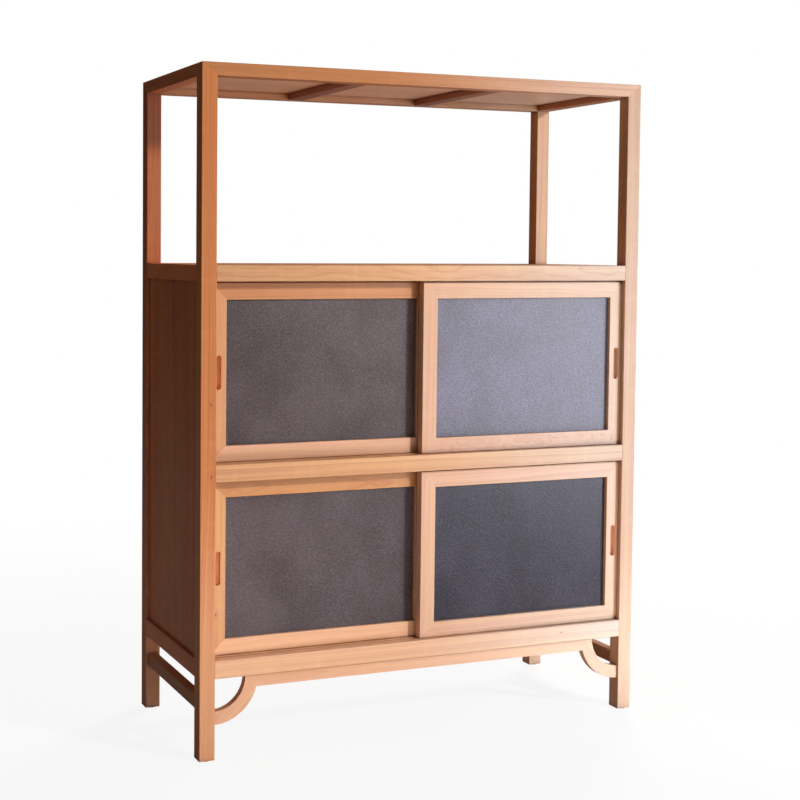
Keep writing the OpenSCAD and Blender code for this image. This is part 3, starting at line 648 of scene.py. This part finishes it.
# Studio: a tall window and a high lamp at the front right, a card that shows in the gloss alone, light
# off the floor, a small lamp low at either hand, and a softbox at the right behind
studio = {
    "lights": {
        "window": {"place": (1.85, -2.25, 0.64), "size": (1.1, 1.25), "power": 8,
                   "colour": (0.88, 0.95, 1.0)},
        "card": {"place": (1.95, -2.10, 0.72), "size": (1.0, 1.3), "power": 18,
                 "colour": (0.90, 0.96, 1.0), "diffuse": False},
        "high": {"place": (2.50, -3.90, 2.60), "size": (0.35, 0.35), "power": 168,
                 "colour": (1.0, 0.97, 0.94), "glossy": False},
        "low": {"place": (-0.45, -1.00, 0.16), "size": (0.3, 0.15), "power": 0.95,
                "colour": (1.0, 0.92, 0.82), "aim": (-0.45, -0.2, 0.30), "spread": 115,
                "glossy": False},
        "lowRight": {"place": (0.95, -1.10, 0.14), "size": (0.3, 0.15), "power": 0.32,
                     "colour": (1.0, 0.95, 0.90), "aim": (0.52, -0.2, -0.03), "spread": 42,
                     "glossy": False},
        "litFloor": {"place": (1.10, -1.10, 0.01), "size": (2.0, 1.5), "power": 20,
                     "colour": (1.0, 0.88, 0.74), "aim": (1.10, -1.10, 1), "glossy": False},
        "rear": {"place": (2.30, 2.30, 2.90), "size": (1.2, 1.2), "power": 125,
                 "colour": (1.0, 0.98, 0.96), "glossy": False},
    },
    "aim": (0, 0, 0.75),  # where a lamp points that has no aim of its own
    "brightFrom": (0.62, -0.62, 0.48),  # the side of the surround that is brightest
    "brightSpread": (-0.6, 0.9),  # from its darkest side to its brightest
    "mirrored": (0.02, 1.1),  # its darkest and its brightest side, as reflections show it
    "ambient": (0.05, 0.085),  # the same, as it lights the cabinet
    "ambientColour": (1.0, 0.90, 0.80, 1),
    "floorSize": 14.0,  # metres
    "floorColour": (0.92, 0.92, 0.92, 1),  # as the camera sees it
    "floorBounce": (0.62, 0.57, 0.53, 1),  # as it lights the cabinet
    "floorMirrored": (0.16, 0.16, 0.16, 1),  # as reflections show it
    "floorWhite": 0.89,  # how far the floor near the cabinet is lifted to white
    "floorGloss": 0.03,  # how much of that lift reflections show
    "shadowReach": (0.7, 2.6),  # metres over which it turns to plain white
}


def makeLight(name, spec):
    data = bpy.data.lights.new(name, "AREA")
    data.shape = "RECTANGLE"
    data.size, data.size_y = spec["size"]
    data.energy = spec["power"]
    data.color = spec["colour"]
    data.spread = math.radians(spec.get("spread", 180))
    light = bpy.data.objects.new(name, data)
    light.visible_camera = False
    light.visible_diffuse = spec.get("diffuse", True)
    light.visible_glossy = spec.get("glossy", True)
    light.location = spec["place"]
    aim = Vector(spec.get("aim", studio["aim"]))
    light.rotation_euler = (aim - light.location).to_track_quat("-Z", "Y").to_euler()
    bpy.context.scene.collection.objects.link(light)


def makeSurround():
    world = bpy.data.worlds.new("whiteSurround")
    bpy.context.scene.world = world
    world.use_nodes = True
    tree = world.node_tree
    toward = add(tree, "TexCoord").outputs["Generated"]
    facing = add(tree, "VectorMath", {0: toward, 1: studio["brightFrom"]}, operation="DOT_PRODUCT")
    path = add(tree, "LightPath").outputs
    darkest, brightest = studio["brightSpread"]
    mirrored = remap(tree, facing.outputs["Value"], darkest, brightest, *studio["mirrored"])
    ambient = remap(tree, facing.outputs["Value"], darkest, brightest, *studio["ambient"])
    ambient = calc(tree, "MULTIPLY", ambient, calc(tree, "SUBTRACT", 1.0, path["Is Glossy Ray"]))
    around = calc(tree, "MULTIPLY_ADD", mirrored, path["Is Glossy Ray"], ambient)
    seen = calc(tree, "MAXIMUM", path["Is Camera Ray"], path["Is Transmission Ray"])
    strength = calc(tree, "MAXIMUM", around, seen)
    background = tree.nodes["Background"]
    colour = blendColour(tree, seen, studio["ambientColour"], (1, 1, 1, 1))
    tree.links.new(colour, background.inputs["Color"])
    tree.links.new(strength, background.inputs["Strength"])


def makeFloor():
    half = studio["floorSize"] / 2
    mesh = bpy.data.meshes.new("studioFloor")
    corners = [(-half, -half, 0), (half, -half, 0), (half, half, 0), (-half, half, 0)]
    mesh.from_pydata(corners, [], [(0, 1, 2, 3)])
    floor = bpy.data.objects.new("studioFloor", mesh)
    bpy.context.scene.collection.objects.link(floor)
    material = bpy.data.materials.new("paleFloor")
    material.use_nodes = True
    tree = material.node_tree
    tree.nodes.remove(tree.nodes["Principled BSDF"])
    white = add(tree, "Emission", {"Color": (1, 1, 1, 1), "Strength": 1.0})
    where = add(tree, "TexCoord").outputs["Object"]
    distance = add(tree, "VectorMath", {0: where}, operation="LENGTH").outputs["Value"]
    near, far = studio["shadowReach"]
    lift = remap(tree, distance, near, far, studio["floorWhite"], 1.0)
    path = add(tree, "LightPath").outputs
    seen = calc(tree, "MAXIMUM", path["Is Camera Ray"], path["Is Transmission Ray"])
    seen = calc(tree, "MULTIPLY_ADD", path["Is Glossy Ray"], studio["floorGloss"], seen, clamp=True)
    share = calc(tree, "MULTIPLY", lift, seen)
    colour = blendColour(tree, path["Is Camera Ray"], studio["floorBounce"], studio["floorColour"])
    colour = blendColour(tree, path["Is Glossy Ray"], colour, studio["floorMirrored"])
    paint = add(tree, "BsdfDiffuse", {"Color": colour})
    mixed = add(tree, "MixShader", {0: share, 1: paint.outputs[0], 2: white.outputs[0]})
    tree.links.new(mixed.outputs[0], tree.nodes["Material Output"].inputs["Surface"])
    mesh.materials.append(material)


for lightName, spec in studio["lights"].items():
    makeLight(lightName + "Light", spec)
makeSurround()
makeFloor()
bpy.context.scene.view_settings.view_transform = "Standard"
print("stage 7: studio set")
